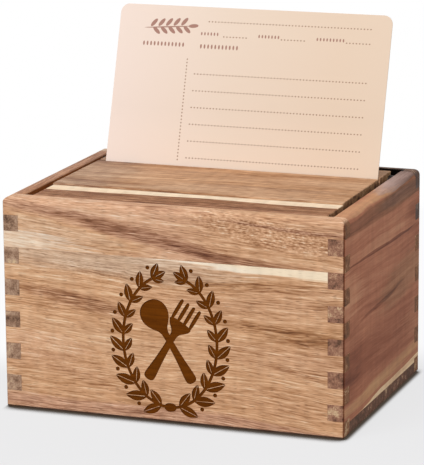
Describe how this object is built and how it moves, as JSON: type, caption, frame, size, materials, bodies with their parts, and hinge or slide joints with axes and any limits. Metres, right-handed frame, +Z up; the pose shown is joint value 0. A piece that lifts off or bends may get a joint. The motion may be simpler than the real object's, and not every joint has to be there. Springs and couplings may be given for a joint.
{
  "type": "recipe card box",
  "caption": "Finger-jointed wooden box for index cards, with an inset lid that pivots on hidden pins and a groove in the lid that holds one card upright.",
  "frame": {"origin": "middle of the underside, where the box stands", "axes": "+Z up, +X to the right of the box, the front faces -Y and the lid's pivot is at the back, +Y"},
  "size_m": [0.152, 0.11, 0.1606],
  "materials": {
    "front_wood": "acacia, sanded and thinly oiled",
    "back_wood": "acacia, sanded and thinly oiled",
    "side_wood": "acacia heartwood, sanded and thinly oiled",
    "base_wood": "acacia, sanded and thinly oiled",
    "rest_wood": "acacia, planed",
    "lid_wood": "acacia, sanded and thinly oiled",
    "pin_steel": "ground",
    "spacer_plastic": "matte",
    "card_stock": "uncoated card"
  },
  "bodies": {
    "box": {"front_upper_stave": "front_wood", "front_lower_stave": "front_wood", "back_upper_stave": "back_wood", "back_lower_stave": "back_wood", "right_side": "side_wood", "left_side": "side_wood", "base_front_stave": "base_wood", "base_rear_stave": "base_wood", "lid_rest_strip": "rest_wood", "right_hinge_pin": "pin_steel", "left_hinge_pin": "pin_steel", "right_pin_spacer": "spacer_plastic", "left_pin_spacer": "spacer_plastic"},
    "lid": {"lid_front_stave": "lid_wood", "lid_main_stave": "lid_wood"},
    "card": {"recipe_card": "card_stock"}
  },
  "joints": [
    {"name": "lid_hinge", "type": "hinge", "parent": "box", "child": "lid", "pos_m": [0, 0.0413, 0.0895], "axis": [-1, 0, 0], "range_deg": [0, 115]},
    {"name": "card_slide", "type": "slide", "parent": "lid", "child": "card", "axis": [0, 0.309, 0.9511], "range_m": [0, 0.03]}
  ]
}
